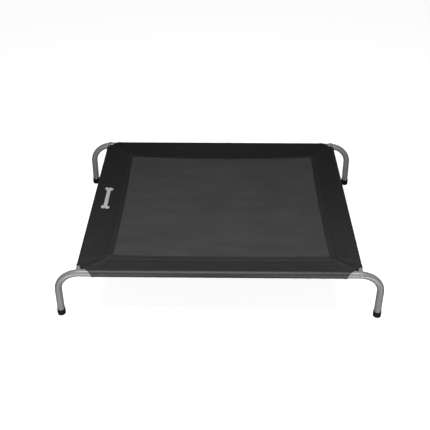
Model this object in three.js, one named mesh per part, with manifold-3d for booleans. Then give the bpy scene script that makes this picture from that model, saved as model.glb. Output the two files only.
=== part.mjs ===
// Raised dog bed: a bolted frame of round steel tube on four splayed legs, and a
// stretched cover. The cover is a mesh panel sewn into four border strips, and the
// outer edge of each strip is a sleeve around the tube that it is stretched from.
//
// Millimetres. X runs along the length, Y from the front to the back, Z up from
// the floor. The origin is on the floor, under the middle of the bed.

import * as THREE from 'three';
import { mergeVertices } from 'three/addons/utils/BufferGeometryUtils.js';
import Module from 'manifold-3d';

// ---- Driving dimensions ----

const GAP = 0.3; // clearance between pieces that touch

// Rails and legs: each side of the bed is two L-shaped tubes, joined in the middle.
const RAIL_Y = 384; // rail axis, from the middle of the bed
const RAIL_Z = 189; // rail axis, above the floor
const TUBE_RADIUS = 12;
const WALL = 1.2;
const BEND_START_X = 453;
const BEND_RADIUS = 80; // of the tube's axis
const LEG_SPLAY = THREE.MathUtils.degToRad(2.6); // outwards, from upright

// Swaged joint in the middle of each rail: a neck and a spigot in the other tube.
const JOINT_X = 35;
const NECK_LENGTH = 6;
const NECK_SHOULDER = 0.2;
const SPIGOT_LENGTH = 60;

// Crossbars, bolted between the rails.
const CROSSBAR_X = 458.5;
const CROSSBAR_RISE = 3; // of their axes above the rails' axes
const CROSSBAR_RADIUS = 8;
const INSERT_LENGTH = 20;

// Fasteners: M6 button-head bolts on saddle washers.
const BOLT_RADIUS = 3;
const BOLT_LENGTH = 45;
const HEAD_RADIUS = 5.25;
const HEAD_HEIGHT = 3.3;
const HEAD_RIM = 0.8; // straight edge under the dome
const SOCKET_ACROSS_CORNERS = 4.6;
const SOCKET_DEPTH = 2;
const WASHER_RADIUS = 8.5;
const WASHER_THICKNESS = 1.2;

// Rubber feet.
const FOOT_RADIUS = 14;
const FOOT_HEIGHT = 24;
const FOOT_BASE = 5; // rubber under the end of the leg
const FOOT_LIP = 1.5; // rounding of the upper rim

// Cover.
const FABRIC = 1.2; // thickness of each fabric solid
const MESH_LEFT = 355; // each edge of the mesh from the middle of the bed
const MESH_RIGHT = 367;
const MESH_FRONT = 299;
const MESH_REAR = 294;
const MESH_EDGE_Z = 187; // top of the fabric along the edge of the mesh
const MESH_SAG = 6; // further down, in the flat middle of the mesh
const MESH_FLAT_SHARE = 0.6; // of the panel's length and width
const RAIL_FLAP_ANGLE = THREE.MathUtils.degToRad(36); // underside of a sleeve
const CROSSBAR_FLAP_ANGLE = THREE.MathUtils.degToRad(26);
const MOUTH_RAIL_X = 413; // where a rail sleeve ends
const MOUTH_CROSSBAR_Y = 353; // where a crossbar sleeve ends

// Fineness of the facets.
const TUBE_SIDES = 18;
const SMALL_SIDES = 12;
const BEND_STEPS = 8;
const SLEEVE_STEPS = 12;

const UP = new THREE.Vector3(0, 0, 1);
const HALF_TURN = Math.PI;

// ---- Materials ----

const powderCoat = new THREE.MeshStandardMaterial({ color: 0xb4b6b8, roughness: 0.42, metalness: 0.55 });
const zincSteel = new THREE.MeshStandardMaterial({ color: 0xc8c9ca, roughness: 0.3, metalness: 0.9 });
const greyPlastic = new THREE.MeshStandardMaterial({ color: 0x9fa1a3, roughness: 0.5, metalness: 0 });
const blackRubber = new THREE.MeshStandardMaterial({ color: 0x101010, roughness: 0.7, metalness: 0 });
const borderCloth = new THREE.MeshStandardMaterial({ color: 0x303133, roughness: 0.85, metalness: 0 });
const meshCloth = new THREE.MeshStandardMaterial({ color: 0x444547, roughness: 0.8, metalness: 0 });

// ---- Solids: joining and cutting closed geometries ----

const wasm = await Module();
wasm.setup();

// A closed geometry as a solid, without the collapsed triangles at a lathe's poles.
function toSolid(geometry) {
  const bare = geometry.clone();
  bare.deleteAttribute('normal');
  bare.deleteAttribute('uv');
  const merged = mergeVertices(bare);
  const triVerts = [];
  for (let i = 0; i < merged.index.count; i += 3) {
    const corners = [0, 1, 2].map((k) => merged.index.getX(i + k));
    if (new Set(corners).size === 3) triVerts.push(...corners);
  }
  const mesh = new wasm.Mesh({
    numProp: 3,
    vertProperties: merged.attributes.position.array,
    triVerts: Uint32Array.from(triVerts),
  });
  return new wasm.Manifold(mesh);
}

function toGeometry(solid) {
  const mesh = solid.getMesh();
  const geometry = new THREE.BufferGeometry();
  geometry.setAttribute('position', new THREE.BufferAttribute(mesh.vertProperties, 3));
  geometry.setIndex(new THREE.BufferAttribute(mesh.triVerts, 1));
  geometry.computeVertexNormals();
  return geometry;
}

// ---- Basic shapes ----

// A cylinder along Y, from one place to another.
function rodAlongY(radius, fromY, toY, sides = SMALL_SIDES) {
  const rod = new THREE.CylinderGeometry(radius, radius, toY - fromY, sides);
  return rod.translate(0, (fromY + toY) / 2, 0);
}

// A solid turned about the X axis, from [x, radius] pairs that start and end on it.
// The profile runs towards -X.
function turnedAlongX(profile) {
  const points = profile.map(([x, radius]) => new THREE.Vector2(radius, -x));
  return new THREE.LatheGeometry(points, TUBE_SIDES).rotateZ(Math.PI / 2);
}

function disc(radius) {
  const shape = new THREE.Shape();
  for (let i = 0; i < TUBE_SIDES; i += 1) {
    const angle = (2 * Math.PI * i) / TUBE_SIDES;
    const point = [radius * Math.cos(angle), radius * Math.sin(angle)];
    if (i === 0) shape.moveTo(...point);
    else shape.lineTo(...point);
  }
  return shape;
}

// ---- Rail and leg ----

// A path with a section at each station, close together only in the bend.
class StationPath extends THREE.Curve {
  constructor(stations) {
    super();
    this.stations = stations;
  }

  stationAt(u) {
    return this.stations[Math.round(u * (this.stations.length - 1))];
  }

  getPoint(u, target = new THREE.Vector3()) {
    return target.copy(this.stationAt(u).point);
  }

  getPointAt(u, target) {
    return this.getPoint(u, target);
  }

  getTangent(u, target = new THREE.Vector3()) {
    return target.copy(this.stationAt(u).tangent);
  }

  getTangentAt(u, target) {
    return this.getTangent(u, target);
  }
}

const BEND_ANGLE = Math.PI / 2 - LEG_SPLAY;

// The tube's axis at an angle around the bend, which is 0 on the rail.
function bendStation(angle) {
  const x = BEND_START_X + BEND_RADIUS * Math.sin(angle);
  const z = RAIL_Z - BEND_RADIUS * (1 - Math.cos(angle));
  return {
    point: new THREE.Vector3(x, 0, z),
    tangent: new THREE.Vector3(Math.cos(angle), 0, -Math.sin(angle)),
  };
}

const legTop = bendStation(BEND_ANGLE);
const legLength = legTop.point.z / Math.cos(LEG_SPLAY); // from the bend to the floor
const FOOT_X = legTop.point.x + legLength * Math.sin(LEG_SPLAY);

// A round bar along the right-hand rail, bend and leg. It starts at startX and ends
// overrun past the end of the leg.
function railBar(radius, startX, overrun = 0) {
  const start = { point: new THREE.Vector3(startX, 0, RAIL_Z), tangent: new THREE.Vector3(1, 0, 0) };
  const bend = [];
  for (let i = 0; i <= BEND_STEPS; i += 1) bend.push(bendStation((BEND_ANGLE * i) / BEND_STEPS));
  const reach = legLength - FOOT_BASE - GAP + overrun;
  const end = {
    point: legTop.point.clone().addScaledVector(legTop.tangent, reach),
    tangent: legTop.tangent,
  };
  const stations = [start, ...bend, end];
  return new THREE.ExtrudeGeometry(disc(radius), {
    steps: stations.length - 1,
    extrudePath: new StationPath(stations),
  });
}

// Height of a crossbar's axis. It meets the rails just inside their bends.
const JUNCTION_ANGLE = Math.asin((CROSSBAR_X - BEND_START_X) / BEND_RADIUS);
const JUNCTION_Z = bendStation(JUNCTION_ANGLE).point.z + CROSSBAR_RISE;

function boltHole() {
  const hole = rodAlongY(BOLT_RADIUS + GAP, -2 * TUBE_RADIUS, 2 * TUBE_RADIUS);
  return toSolid(hole.translate(CROSSBAR_X, 0, JUNCTION_Z));
}

const BORE_RADIUS = TUBE_RADIUS - WALL;
const SPIGOT_RADIUS = BORE_RADIUS - GAP;

// The tube that receives the spigot. It starts past the middle of the bed.
function socketTube() {
  const startX = -JOINT_X + GAP;
  const bar = toSolid(railBar(TUBE_RADIUS, startX));
  const bore = toSolid(railBar(BORE_RADIUS, startX - 1, 1));
  return toGeometry(bar.subtract(bore).subtract(boltHole()));
}

// The tube with the swaged neck and spigot.
function spigotTube() {
  const neckX = JOINT_X + NECK_LENGTH;
  const tipX = JOINT_X - SPIGOT_LENGTH;
  const neckRadius = TUBE_RADIUS - NECK_SHOULDER;
  const spigot = turnedAlongX([
    [neckX + NECK_LENGTH, 0],
    [neckX + NECK_LENGTH, neckRadius],
    [neckX, neckRadius],
    [JOINT_X, SPIGOT_RADIUS],
    [tipX, SPIGOT_RADIUS],
    [tipX, 0],
  ]).translate(0, 0, RAIL_Z);
  const narrowBore = turnedAlongX([
    [neckX + 2 * NECK_LENGTH, 0],
    [neckX + 2 * NECK_LENGTH, SPIGOT_RADIUS - WALL],
    [tipX - 1, SPIGOT_RADIUS - WALL],
    [tipX - 1, 0],
  ]).translate(0, 0, RAIL_Z);
  const bar = toSolid(railBar(TUBE_RADIUS, neckX)).add(toSolid(spigot));
  const bore = toSolid(railBar(BORE_RADIUS, neckX + NECK_LENGTH, 1)).add(toSolid(narrowBore));
  return toGeometry(bar.subtract(bore).subtract(boltHole()));
}

// What a rail takes up, with clearance, where other pieces are shaped around it.
function railClearance(position, turn = 0, extra = 0) {
  return toSolid(railBar(TUBE_RADIUS + GAP + extra, 0).rotateZ(turn).translate(...position));
}

// ---- Crossbars and fasteners, each with its axis along Y at X = 0 ----

// A tube whose ends are coped to the rails.
function crossbarTube() {
  const bar = toSolid(rodAlongY(CROSSBAR_RADIUS, -RAIL_Y, RAIL_Y, TUBE_SIDES));
  const bore = toSolid(rodAlongY(CROSSBAR_RADIUS - WALL, -RAIL_Y - 1, RAIL_Y + 1, TUBE_SIDES));
  const frontRail = railClearance([-CROSSBAR_X, -RAIL_Y, -JUNCTION_Z]);
  const rearRail = railClearance([-CROSSBAR_X, RAIL_Y, -JUNCTION_Z]);
  return toGeometry(bar.subtract(bore).subtract(frontRail).subtract(rearRail));
}

// A threaded plug in the end of a crossbar.
const INSERT_FACE_Y = RAIL_Y - TUBE_RADIUS - 2 * GAP;

function threadedInsert() {
  const radius = CROSSBAR_RADIUS - WALL - GAP;
  const plug = toSolid(rodAlongY(radius, INSERT_FACE_Y - INSERT_LENGTH, INSERT_FACE_Y, TUBE_SIDES));
  const thread = toSolid(rodAlongY(BOLT_RADIUS + GAP, 0, RAIL_Y));
  return toGeometry(plug.subtract(thread));
}

// A round washer, curved to lie on the tube at either end of a rail.
const WASHER_FACE_Y = RAIL_Y + TUBE_RADIUS + GAP + WASHER_THICKNESS;

function saddleWasher() {
  const blank = toSolid(rodAlongY(WASHER_RADIUS, RAIL_Y, WASHER_FACE_Y, TUBE_SIDES));
  const hole = toSolid(rodAlongY(BOLT_RADIUS + GAP, 0, 2 * RAIL_Y));
  const rightEnd = [-CROSSBAR_X, RAIL_Y, -JUNCTION_Z];
  const leftEnd = [CROSSBAR_X, RAIL_Y, -JUNCTION_Z];
  const outside = railClearance(rightEnd, 0, WASHER_THICKNESS);
  const outsideTurned = railClearance(leftEnd, HALF_TURN, WASHER_THICKNESS);
  const curved = blank.intersect(outside.add(outsideTurned)).subtract(hole);
  return toGeometry(curved.subtract(railClearance(rightEnd)).subtract(railClearance(leftEnd, HALF_TURN)));
}

// A domed head with a hexagon socket on a plain shank.
function buttonHeadBolt() {
  const seat = WASHER_FACE_Y + GAP;
  const dome = HEAD_HEIGHT - HEAD_RIM;
  const profile = [
    new THREE.Vector2(0, seat - BOLT_LENGTH),
    new THREE.Vector2(BOLT_RADIUS - 0.5, seat - BOLT_LENGTH),
    new THREE.Vector2(BOLT_RADIUS, seat - BOLT_LENGTH + 0.5),
    new THREE.Vector2(BOLT_RADIUS, seat),
  ];
  for (const angle of [0, 30, 60, 90].map(THREE.MathUtils.degToRad)) {
    const radius = HEAD_RADIUS * Math.cos(angle);
    profile.push(new THREE.Vector2(radius, seat + HEAD_RIM + dome * Math.sin(angle)));
  }
  profile.splice(4, 0, new THREE.Vector2(HEAD_RADIUS, seat));
  profile.at(-1).x = 0;
  const crown = seat + HEAD_HEIGHT;
  const socket = rodAlongY(SOCKET_ACROSS_CORNERS / 2, crown - SOCKET_DEPTH, crown + 1, 6);
  const bolt = toSolid(new THREE.LatheGeometry(profile, SMALL_SIDES));
  return toGeometry(bolt.subtract(toSolid(socket)));
}

// ---- Rubber foot, with its middle on the floor at the origin ----

// A cap along the splayed leg, cut flat where it stands on the floor.
function rubberFoot() {
  const below = -2;
  const profile = [
    [0, below],
    [FOOT_RADIUS - 1, below],
    [FOOT_RADIUS - 1, 1],
    [FOOT_RADIUS, 3],
    [FOOT_RADIUS, FOOT_HEIGHT - FOOT_LIP],
    [FOOT_RADIUS - 1, FOOT_HEIGHT],
    [TUBE_RADIUS + GAP, FOOT_HEIGHT],
    [TUBE_RADIUS + GAP, FOOT_BASE],
    [0, FOOT_BASE],
  ].map(([radius, height]) => new THREE.Vector2(radius, height));
  const cap = new THREE.LatheGeometry(profile, TUBE_SIDES).rotateX(Math.PI / 2).rotateY(-LEG_SPLAY);
  const side = 4 * FOOT_RADIUS;
  const underFloor = new THREE.BoxGeometry(side, side, side).translate(0, 0, -side / 2);
  return toGeometry(toSolid(cap).subtract(toSolid(underFloor)));
}

// ---- Cover ----

// Section of a border strip and its sleeve: u runs from the tube's axis towards the
// middle of the bed, v is up from the axis. The strip's top leaves the sleeve at a
// tangent and falls by stripAngle; the sleeve's underside closes at flapAngle.
function sleeveShape(tubeRadius, stripAngle, flapAngle, stripEnd) {
  const inner = tubeRadius + GAP;
  const outer = inner + FABRIC;
  const stripNormal = new THREE.Vector2(Math.sin(stripAngle), Math.cos(stripAngle));
  const flapNormal = new THREE.Vector2(Math.sin(flapAngle), -Math.cos(flapAngle));

  // Where the line at distance a along the strip's normal meets the line at
  // distance b along the flap's normal.
  const meet = (a, b) => {
    const cross = stripNormal.x * flapNormal.y - stripNormal.y * flapNormal.x;
    return new THREE.Vector2(
      (a * flapNormal.y - b * stripNormal.y) / cross,
      (b * stripNormal.x - a * flapNormal.x) / cross,
    );
  };
  const stripPoint = (distance) => {
    const v = (distance - stripNormal.x * stripEnd) / stripNormal.y;
    return new THREE.Vector2(stripEnd, v);
  };
  const from = Math.PI / 2 - stripAngle;
  const to = 1.5 * Math.PI + flapAngle;
  const around = (radius) => {
    const points = [];
    for (let i = 0; i <= SLEEVE_STEPS; i += 1) {
      const angle = from + ((to - from) * i) / SLEEVE_STEPS;
      points.push(new THREE.Vector2(radius * Math.cos(angle), radius * Math.sin(angle)));
    }
    return points;
  };

  const shape = new THREE.Shape([stripPoint(outer), ...around(outer), meet(inner, outer), stripPoint(inner)]);
  shape.holes.push(new THREE.Path([...around(inner), meet(inner, inner)]));
  return shape;
}

// The angle at which a strip falls from the top of its sleeve to the mesh's edge.
function stripFall(tubeRadius, axisZ, run) {
  const top = tubeRadius + GAP + FABRIC;
  const end = MESH_EDGE_Z - axisZ;
  let angle = 0;
  for (let i = 0; i < 20; i += 1) angle = Math.atan2(top / Math.cos(angle) - end, run);
  return angle;
}

// An upright prism over a plan outline, taller than the cover.
function planPrism(outline) {
  const prism = new THREE.ExtrudeGeometry(new THREE.Shape(outline), { depth: RAIL_Z, bevelEnabled: false });
  return toSolid(prism.translate(0, 0, RAIL_Z / 2));
}

// Plan of the cover's rear right corner. The strips meet in a mitre, from the corner
// of the mesh to the middle of the slanting cut between the two sleeves' mouths.
// Each strip is made as the one on the rear or the right, for the corners of the mesh
// at its own two ends, and the opposite one is turned by half a turn.
const COVER_HALF_X = CROSSBAR_X + CROSSBAR_RADIUS + GAP + FABRIC;
const COVER_HALF_Y = RAIL_Y + TUBE_RADIUS + GAP + FABRIC;
const railMouth = new THREE.Vector2(MOUTH_RAIL_X, COVER_HALF_Y);
const crossbarMouth = new THREE.Vector2(COVER_HALF_X, MOUTH_CROSSBAR_Y);
const mitreEnd = railMouth.clone().lerp(crossbarMouth, 0.5);

// Half of the corner's plan: a strip's side of the mitre, half a gap away from it, then
// its side of the slanting cut, run on past the sleeve.
function cornerPlan(meshX, meshY, mouth, side) {
  const mitreStart = new THREE.Vector2(meshX, meshY);
  const along = mitreEnd.clone().sub(mitreStart).normalize();
  const away = new THREE.Vector2(-along.y, along.x).multiplyScalar((side * GAP) / 2);
  const past = mouth.clone().lerp(mitreEnd, -0.2);
  return [mitreStart.clone().add(away), mitreEnd.clone().add(away), past];
}

const flipX = (point) => new THREE.Vector2(-point.x, point.y);
const flipY = (point) => new THREE.Vector2(point.x, -point.y);

// A strip with its sleeve around the rear rail.
function railSleeve(meshRear, meshLeft, meshRight) {
  const run = RAIL_Y - meshRear;
  const fall = stripFall(TUBE_RADIUS, RAIL_Z, run);
  const section = sleeveShape(TUBE_RADIUS, fall, RAIL_FLAP_ANGLE, run);
  const length = 2 * COVER_HALF_X;
  const sleeve = new THREE.ExtrudeGeometry(section, { depth: length, bevelEnabled: false });
  const inwards = new THREE.Vector3(0, -1, 0);
  const turn = new THREE.Matrix4().makeBasis(inwards, UP, new THREE.Vector3(-1, 0, 0));
  sleeve.translate(0, 0, -length / 2).applyMatrix4(turn).translate(0, RAIL_Y, RAIL_Z);
  const right = cornerPlan(meshRight, meshRear, railMouth, 1);
  const left = cornerPlan(meshLeft, meshRear, railMouth, 1).map(flipX).reverse();
  return toGeometry(toSolid(sleeve).intersect(planPrism([...right, ...left])));
}

// A strip with its sleeve around the right-hand crossbar.
function crossbarSleeve(meshRight, meshFront, meshRear) {
  const run = CROSSBAR_X - meshRight;
  const fall = stripFall(CROSSBAR_RADIUS, JUNCTION_Z, run);
  const section = sleeveShape(CROSSBAR_RADIUS, fall, CROSSBAR_FLAP_ANGLE, run);
  const length = 2 * COVER_HALF_Y;
  const sleeve = new THREE.ExtrudeGeometry(section, { depth: length, bevelEnabled: false });
  const inwards = new THREE.Vector3(-1, 0, 0);
  const turn = new THREE.Matrix4().makeBasis(inwards, UP, new THREE.Vector3(0, 1, 0));
  sleeve.translate(0, 0, -length / 2).applyMatrix4(turn).translate(CROSSBAR_X, 0, JUNCTION_Z);
  const rear = cornerPlan(meshRight, meshRear, crossbarMouth, -1);
  const front = cornerPlan(meshRight, meshFront, crossbarMouth, -1).map(flipY).reverse();
  const trimmed = toSolid(sleeve).intersect(planPrism([...front, ...rear]));
  const frontRail = railClearance([0, -RAIL_Y, 0]);
  const rearRail = railClearance([0, RAIL_Y, 0]);
  return toGeometry(trimmed.subtract(frontRail).subtract(rearRail));
}

// The mesh: a shallow four-sided dish, flat in the middle.
function meshDish() {
  const corner = Math.SQRT2; // radius of a square ring whose sides are 1 from the middle
  const profile = [
    [0, -MESH_SAG - FABRIC],
    [MESH_FLAT_SHARE * corner, -MESH_SAG - FABRIC],
    [corner, -FABRIC],
    [corner, 0],
    [MESH_FLAT_SHARE * corner, -MESH_SAG],
    [0, -MESH_SAG],
  ].map(([radius, height]) => new THREE.Vector2(radius, height));
  const dish = new THREE.LatheGeometry(profile, 4).rotateX(Math.PI / 2).rotateZ(Math.PI / 4);
  const middleX = (MESH_RIGHT - MESH_LEFT) / 2;
  const middleY = (MESH_REAR - MESH_FRONT) / 2;
  dish.scale(middleX + MESH_LEFT - GAP, middleY + MESH_FRONT - GAP, 1);
  return dish.translate(middleX, middleY, MESH_EDGE_Z);
}

// ---- Assembly ----

const bed = new THREE.Group();

function place(name, geometry, material, position = [0, 0, 0], turn = 0) {
  const mesh = new THREE.Mesh(geometry, material);
  mesh.name = name;
  mesh.position.set(...position);
  mesh.rotation.z = turn;
  bed.add(mesh);
}

// Each rail has its spigot half on the left as seen from outside the bed.
const spigotHalf = spigotTube();
const socketHalf = socketTube();
place('front_rail_left', spigotHalf, powderCoat, [0, -RAIL_Y, 0], HALF_TURN);
place('front_rail_right', socketHalf, powderCoat, [0, -RAIL_Y, 0]);
place('rear_rail_left', socketHalf, powderCoat, [0, RAIL_Y, 0], HALF_TURN);
place('rear_rail_right', spigotHalf, powderCoat, [0, RAIL_Y, 0]);

const crossbar = crossbarTube();
place('left_crossbar', crossbar, powderCoat, [-CROSSBAR_X, 0, JUNCTION_Z], HALF_TURN);
place('right_crossbar', crossbar, powderCoat, [CROSSBAR_X, 0, JUNCTION_Z]);

// The four corners: [name, side in X, side in Y].
const corners = [
  ['front_left', -1, -1],
  ['front_right', 1, -1],
  ['rear_left', -1, 1],
  ['rear_right', 1, 1],
];
const insert = threadedInsert();
const washer = saddleWasher();
const bolt = buttonHeadBolt();
const foot = rubberFoot();
for (const [name, x, y] of corners) {
  const junction = [x * CROSSBAR_X, 0, JUNCTION_Z];
  const facing = y > 0 ? 0 : HALF_TURN;
  place(`${name}_insert`, insert, zincSteel, junction, facing);
  place(`${name}_washer`, washer, greyPlastic, junction, facing);
  place(`${name}_bolt`, bolt, zincSteel, junction, facing);
  place(`${name}_foot`, foot, blackRubber, [x * FOOT_X, y * RAIL_Y, 0], x > 0 ? 0 : HALF_TURN);
}

const frontStrip = railSleeve(MESH_FRONT, MESH_RIGHT, MESH_LEFT);
const rearStrip = railSleeve(MESH_REAR, MESH_LEFT, MESH_RIGHT);
const leftStrip = crossbarSleeve(MESH_LEFT, MESH_REAR, MESH_FRONT);
const rightStrip = crossbarSleeve(MESH_RIGHT, MESH_FRONT, MESH_REAR);
place('front_border_sleeve', frontStrip, borderCloth, [0, 0, 0], HALF_TURN);
place('rear_border_sleeve', rearStrip, borderCloth);
place('left_border_sleeve', leftStrip, borderCloth, [0, 0, 0], HALF_TURN);
place('right_border_sleeve', rightStrip, borderCloth);
place('mesh_panel', meshDish(), meshCloth);

export default bed;
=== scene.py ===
import math
import random

import bpy
import numpy as np
from mathutils import Euler, Matrix, Vector
from mathutils.bvhtree import BVHTree


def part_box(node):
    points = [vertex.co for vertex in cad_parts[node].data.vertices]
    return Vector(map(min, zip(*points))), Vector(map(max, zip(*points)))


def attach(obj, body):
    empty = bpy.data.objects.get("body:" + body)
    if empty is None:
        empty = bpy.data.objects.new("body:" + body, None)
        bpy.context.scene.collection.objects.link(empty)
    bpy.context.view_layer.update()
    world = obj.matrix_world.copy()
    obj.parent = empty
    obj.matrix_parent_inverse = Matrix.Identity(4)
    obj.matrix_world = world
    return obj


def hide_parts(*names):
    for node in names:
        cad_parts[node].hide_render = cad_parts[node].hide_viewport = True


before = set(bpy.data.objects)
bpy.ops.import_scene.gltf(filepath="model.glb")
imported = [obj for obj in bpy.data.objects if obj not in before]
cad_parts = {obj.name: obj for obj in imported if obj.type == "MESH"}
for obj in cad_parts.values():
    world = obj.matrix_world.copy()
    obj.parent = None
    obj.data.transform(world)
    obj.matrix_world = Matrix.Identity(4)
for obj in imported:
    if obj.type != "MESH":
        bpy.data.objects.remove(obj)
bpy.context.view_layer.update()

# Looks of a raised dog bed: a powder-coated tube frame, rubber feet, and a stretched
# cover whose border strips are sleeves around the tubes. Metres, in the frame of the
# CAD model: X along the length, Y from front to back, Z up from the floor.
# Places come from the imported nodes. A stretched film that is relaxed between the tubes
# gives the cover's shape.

MM = 0.001

# ---- Sizes ----

TUBE_RADIUS = 12 * MM
CROSSBAR_RADIUS = 8 * MM
WALL = 1.2 * MM
BEND_RADIUS = 80 * MM
BEND_BEFORE_CROSSBAR = 5.5 * MM  # from where a rail's bend starts to the crossbar's axis
LEG_SPLAY = math.radians(2.6)
BEND_FLATTENING = 0.03  # share of the radius that the tube loses in the bend's plane
NECK_LENGTH = 6 * MM
SPIGOT_LENGTH = 60 * MM
BOLT_RADIUS = 3 * MM
HEAD_RADIUS = 5.25 * MM
HEAD_HEIGHT = 3.3 * MM
HEAD_RIM = 0.7 * MM  # straight edge under the dome
BOLT_LENGTH = 45 * MM
SOCKET_RADIUS = 2.3 * MM  # across corners
SOCKET_DEPTH = 2 * MM
WASHER_RADIUS = 8.5 * MM
WASHER_THICKNESS = 1.2 * MM
GAP = 0.3 * MM
FOOT_RADIUS = 14 * MM
FOOT_HEIGHT = 24 * MM
FOOT_BASE = 5 * MM
TUBE_SIDES = 48

CLOTH = 0.7 * MM  # thickness of the border cloth
MESH_CLOTH = 0.8 * MM  # thickness of the mesh
MESH_SOLID = 1.2 * MM  # thickness of the mesh's solid in the frame
MESH_DROP = 0.75 * MM  # of the mesh below the border cloth that covers its edge
MESH_MARGIN = 14 * MM  # of the mesh under the border cloth
FRONT_SHIFT = 2.5 * MM  # of the mesh's front edge, towards the front rail
SLEEVE_SEAM = 31 * MM  # from a tube's axis to the seam that closes its sleeve
SLEEVE_HEM = 9 * MM  # of the sleeve's underside past that seam
SEAM_ROWS = (SLEEVE_SEAM + 1 * MM, SLEEVE_SEAM + SLEEVE_HEM - 3 * MM)  # its rows of stitches
BAND_WIDTH = 22 * MM  # folded hem along the mesh
MOUTH_HEM = 9 * MM  # folded hem at a sleeve's mouth
STITCH_PITCH = 3.6 * MM
STITCH_LENGTH = 2.9 * MM
THREAD_RADIUS = 0.32 * MM

# ---- Places, from the frame ----


def middle(node):
    low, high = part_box(node)
    return (Vector(low) + Vector(high)) / 2


RAIL_Y = middle("rear_rail_right").y
RAIL_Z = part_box("rear_rail_right")[1][2] - TUBE_RADIUS
CROSSBAR_X = middle("right_crossbar").x
CROSSBAR_Z = middle("right_crossbar").z
BEND_START_X = CROSSBAR_X - BEND_BEFORE_CROSSBAR
SPIGOT_TIP_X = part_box("rear_rail_right")[0][0]
JOINT_X = -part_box("front_rail_right")[0][0]
MESH_LOW, MESH_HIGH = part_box("mesh_panel")
MESH_MIDDLE_Z = MESH_LOW[2] + MESH_SOLID
MESH_EDGE = {  # distance of each edge of the mesh from the middle of the bed
    "left": GAP - MESH_LOW[0],
    "right": GAP + MESH_HIGH[0],
    "front": FRONT_SHIFT - MESH_LOW[1],
    "rear": GAP + MESH_HIGH[1],
}
COVER_HALF_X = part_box("right_border_sleeve")[1][0]
COVER_HALF_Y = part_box("rear_border_sleeve")[1][1]
MOUTH_RAIL_X = 413 * MM
MOUTH_CROSSBAR_Y = 353 * MM
MITRE_X = (MOUTH_RAIL_X + COVER_HALF_X) / 2
MITRE_Y = (MOUTH_CROSSBAR_Y + COVER_HALF_Y) / 2

HALF_TURN = Matrix.Rotation(math.pi, 4, "Z")
CORNERS = {
    "front_left": (-1, -1),
    "front_right": (1, -1),
    "rear_left": (-1, 1),
    "rear_right": (1, 1),
}


# ---- Meshes ----


def new_object(name, data):
    thing = bpy.data.objects.new(name, data)
    bpy.context.scene.collection.objects.link(thing)
    return thing


def new_piece(name, vertices, faces, material, nodes=(), uvs=None, sharp=None):
    """A smooth mesh that rides on the bed and stands for some CAD nodes."""
    mesh = bpy.data.meshes.new(name)
    mesh.from_pydata([tuple(v) for v in vertices], [], faces)
    mesh.shade_smooth()
    if sharp is not None:
        mesh.set_sharp_from_angle(angle=math.radians(sharp))
    if uvs is not None:
        corners = np.empty(len(mesh.loops), dtype=np.int32)
        mesh.loops.foreach_get("vertex_index", corners)
        layer = mesh.uv_layers.new(name="cloth")
        layer.data.foreach_set("uv", np.asarray(uvs, dtype=np.float32)[corners].ravel())
    mesh.materials.append(material)
    piece = new_object(name, mesh)
    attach(piece, "root")
    if nodes:
        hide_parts(*nodes)
    return piece


def grid_faces(rows, columns, close_rows=False, close_columns=False):
    """Quads between the points of a grid that is listed row by row."""
    faces = []
    for i in range(rows if close_rows else rows - 1):
        for j in range(columns if close_columns else columns - 1):
            row, below = i * columns, (i + 1) % rows * columns
            right = (j + 1) % columns
            faces.append((row + j, row + right, below + right, below + j))
    return faces


def turned(profile, sides, slant=0.0):
    """A closed solid of rings around the Z axis. The profile of (radius, height) starts
    and ends on the axis. Higher rings move along X by slant times their height."""
    rings = [p for p in profile if p[0] > 0]
    vertices = []
    for radius, height in rings:
        for k in range(sides):
            angle = 2 * math.pi * k / sides
            x = radius * math.cos(angle) - slant * height
            vertices.append((x, radius * math.sin(angle), height))
    faces = grid_faces(len(rings), sides, close_columns=True)
    last = len(vertices) - sides
    first_tip, last_tip = len(vertices), len(vertices) + 1
    vertices.append((-slant * profile[0][1], 0, profile[0][1]))
    vertices.append((-slant * profile[-1][1], 0, profile[-1][1]))
    for k in range(sides):
        right = (k + 1) % sides
        faces.append((first_tip, right, k))
        faces.append((last_tip, last + k, last + right))
    return vertices, faces


def moved(vertices, matrix):
    return [matrix @ Vector(v) for v in vertices]


def corner_piece(corner, name, node, vertices, faces, material, sharp):
    stands_for = [f"{corner}_{node}"]
    return new_piece(f"{corner}_{name}", vertices, faces, material, stands_for, sharp=sharp)


# ---- Rails and legs ----


def bend_point(angle):
    """A point of the tube's axis in the bend and its direction."""
    x = BEND_START_X + BEND_RADIUS * math.sin(angle)
    z = RAIL_Z - BEND_RADIUS * (1 - math.cos(angle))
    return Vector((x, 0, z)), Vector((math.cos(angle), 0, -math.sin(angle)))


BEND_ANGLE = math.pi / 2 - LEG_SPLAY
LEG_TOP, LEG_DIRECTION = bend_point(BEND_ANGLE)
LEG_LENGTH = LEG_TOP.z / math.cos(LEG_SPLAY)
FOOT_X = LEG_TOP.x + LEG_LENGTH * math.sin(LEG_SPLAY)


def rail_axis(start_x, bend_steps=36, leg_steps=6):
    """Points of a right-hand rail from start_x to the end of its leg, as (point,
    direction, how far into the bend from 0 at its ends to 1 in its middle)."""
    axis = [(Vector((start_x, 0, RAIL_Z)), Vector((1, 0, 0)), 0.0)]
    for i in range(bend_steps + 1):
        share = i / bend_steps
        point, direction = bend_point(BEND_ANGLE * share)
        axis.append((point, direction, math.sin(math.pi * share) ** 0.5))
    reach = LEG_LENGTH - FOOT_BASE - GAP
    for i in range(1, leg_steps + 1):
        axis.append((LEG_TOP + LEG_DIRECTION * (reach * i / leg_steps), LEG_DIRECTION, 0.0))
    return axis


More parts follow.
